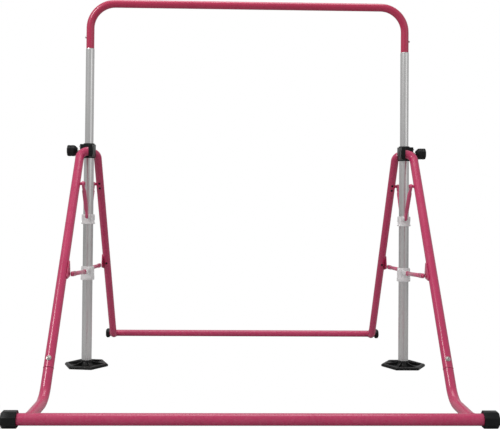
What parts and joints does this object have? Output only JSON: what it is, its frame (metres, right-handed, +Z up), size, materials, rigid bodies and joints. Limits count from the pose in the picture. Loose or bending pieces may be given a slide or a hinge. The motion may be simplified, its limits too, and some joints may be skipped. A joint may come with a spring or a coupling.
{
  "type": "folding kip bar",
  "caption": "Free-standing gymnastics kip bar: U-shaped top bar that slides in two posts, with folding front and rear legs, sliding strut collars and swivelling foot plates.",
  "frame": {"origin": "on the floor, at the centre of the footprint", "axes": "+Z up, +Y towards the rear legs, +X towards the gymnast's right, along the bar"},
  "size_m": [1.31, 1.3278, 1.3],
  "materials": {
    "frame_paint": "gloss powder coat",
    "bar_paint": "gloss powder coat",
    "bright_steel": "polished",
    "fastener_steel": "zinc plated",
    "pale_nylon": "matte",
    "black_plastic": "satin"
  },
  "bodies": {
    "stand": {"post_left": "bright_steel", "post_right": "bright_steel", "head_block_left": "black_plastic", "head_block_right": "black_plastic", "lock_bush_left": "fastener_steel", "lock_bush_right": "fastener_steel"},
    "bar": {"u_bar": "bar_paint", "upper_tube_left": "bright_steel", "upper_tube_right": "bright_steel", "tube_bush_left": "pale_nylon", "tube_bush_right": "pale_nylon"},
    "snap_button_left": {"snap_button_left": "fastener_steel"},
    "snap_button_right": {"snap_button_right": "fastener_steel"},
    "lock_left": {"lock_pin_left": "fastener_steel", "lock_knob_left": "black_plastic"},
    "lock_right": {"lock_pin_right": "fastener_steel", "lock_knob_right": "black_plastic"},
    "foot_left": {"foot_plate_left": "black_plastic"},
    "foot_right": {"foot_plate_right": "black_plastic"},
    "front_frame": {"front_leg_left": "frame_paint", "front_leg_right": "frame_paint", "front_foot_tube_left": "frame_paint", "front_foot_tube_right": "frame_paint", "front_floor_tube": "frame_paint", "front_cap_left": "black_plastic", "front_cap_right": "black_plastic", "front_leg_plate_left": "frame_paint", "front_leg_plate_right": "frame_paint", "front_leg_studs": "fastener_steel", "joint_bolts": "fastener_steel"},
    "rear_frame": {"rear_leg_left": "frame_paint", "rear_leg_right": "frame_paint", "rear_floor_tube": "frame_paint", "rear_cap_left": "black_plastic", "rear_cap_right": "black_plastic", "rear_leg_plate_left": "frame_paint", "rear_leg_plate_right": "frame_paint", "rear_leg_studs": "fastener_steel", "bracket_screws": "fastener_steel"},
    "front_upper_struts": {"front_upper_strut_left": "frame_paint", "front_upper_strut_right": "frame_paint"},
    "upper_collars": {"upper_collar_left": "pale_nylon", "upper_collar_right": "pale_nylon", "upper_collar_pins": "fastener_steel"},
    "rear_upper_struts": {"rear_upper_strut_left": "frame_paint", "rear_upper_strut_right": "frame_paint", "rear_upper_rivets": "fastener_steel"},
    "lower_collars": {"lower_collar_left": "pale_nylon", "lower_collar_right": "pale_nylon", "lower_collar_pins": "fastener_steel"},
    "front_lower_struts": {"front_lower_strut_left": "frame_paint", "front_lower_strut_right": "frame_paint", "front_lower_rivets": "fastener_steel"},
    "rear_lower_struts": {"rear_lower_strut_left": "frame_paint", "rear_lower_strut_right": "frame_paint", "rear_lower_rivets": "fastener_steel"}
  },
  "joints": [
    {"name": "bar_height", "type": "slide", "parent": "stand", "child": "bar", "axis": [0, 0, 1], "range_m": [-0.3, 0]},
    {"name": "snap_button_left_press", "type": "slide", "parent": "bar", "child": "snap_button_left", "axis": [1, 0, 0], "range_m": [0, 0.005], "stiffness_N_per_m": 400, "springref_m": -0.004},
    {"name": "snap_button_right_press", "type": "slide", "parent": "bar", "child": "snap_button_right", "axis": [-1, 0, 0], "range_m": [0, 0.005], "stiffness_N_per_m": 400, "springref_m": -0.004},
    {"name": "lock_left_pull", "type": "slide", "parent": "stand", "child": "lock_left", "axis": [-1, 0, 0], "range_m": [0, 0.008], "stiffness_N_per_m": 600, "springref_m": -0.01},
    {"name": "lock_right_pull", "type": "slide", "parent": "stand", "child": "lock_right", "axis": [1, 0, 0], "range_m": [0, 0.008], "stiffness_N_per_m": 600, "springref_m": -0.01},
    {"name": "foot_left_swivel", "type": "hinge", "parent": "stand", "child": "foot_left", "pos_m": [-0.563, 0.09798, 0.01], "axis": [0, 0, 1], "continuous": true},
    {"name": "foot_right_swivel", "type": "hinge", "parent": "stand", "child": "foot_right", "pos_m": [0.563, 0.09798, 0.01], "axis": [0, 0, 1], "continuous": true},
    {"name": "fold", "type": "hinge", "parent": "stand", "child": "front_frame", "pos_m": [0, 0.06048, 0.757], "axis": [1, 0, 0], "range_deg": [0, 30]},
    {"name": "rear_leg_fold", "type": "hinge", "parent": "stand", "child": "rear_frame", "pos_m": [0, 0.13548, 0.757], "axis": [1, 0, 0], "range_deg": [-27.5, 0]},
    {"name": "front_upper_strut_turn", "type": "hinge", "parent": "front_frame", "child": "front_upper_struts", "pos_m": [0, -0.02062, 0.64288], "axis": [1, 0, 0], "range_deg": [-61, 0]},
    {"name": "upper_collar_slide", "type": "hinge", "parent": "front_upper_struts", "child": "upper_collars", "pos_m": [0, 0.06048, 0.52876], "axis": [1, 0, 0], "range_deg": [0, 31]},
    {"name": "rear_upper_strut_turn", "type": "hinge", "parent": "rear_frame", "child": "rear_upper_struts", "pos_m": [0, 0.20735, 0.64288], "axis": [1, 0, 0], "range_deg": [0, 55]},
    {"name": "lower_collar_slide", "type": "slide", "parent": "stand", "child": "lower_collars", "axis": [0, 0, 1], "range_m": [-0.283, 0]},
    {"name": "front_lower_strut_turn", "type": "hinge", "parent": "lower_collars", "child": "front_lower_struts", "pos_m": [0, 0.03198, 0.338], "axis": [1, 0, 0], "range_deg": [-89.5, 0]},
    {"name": "rear_lower_strut_turn", "type": "hinge", "parent": "lower_collars", "child": "rear_lower_struts", "pos_m": [0, 0.16398, 0.338], "axis": [1, 0, 0], "range_deg": [0, 96.5]}
  ],
  "couplings": [
    {"joint": "rear_leg_fold", "follows": "fold", "ratio": -0.9},
    {"joint": "front_upper_strut_turn", "follows": "fold", "ratio": -2},
    {"joint": "upper_collar_slide", "follows": "fold", "ratio": 1},
    {"joint": "rear_upper_strut_turn", "follows": "fold", "ratio": 1.8},
    {"joint": "lower_collar_slide", "follows": "fold", "m_per_rad": -0.53746},
    {"joint": "front_lower_strut_turn", "follows": "fold", "ratio": -2.9533},
    {"joint": "rear_lower_strut_turn", "follows": "fold", "ratio": 3.192}
  ]
}
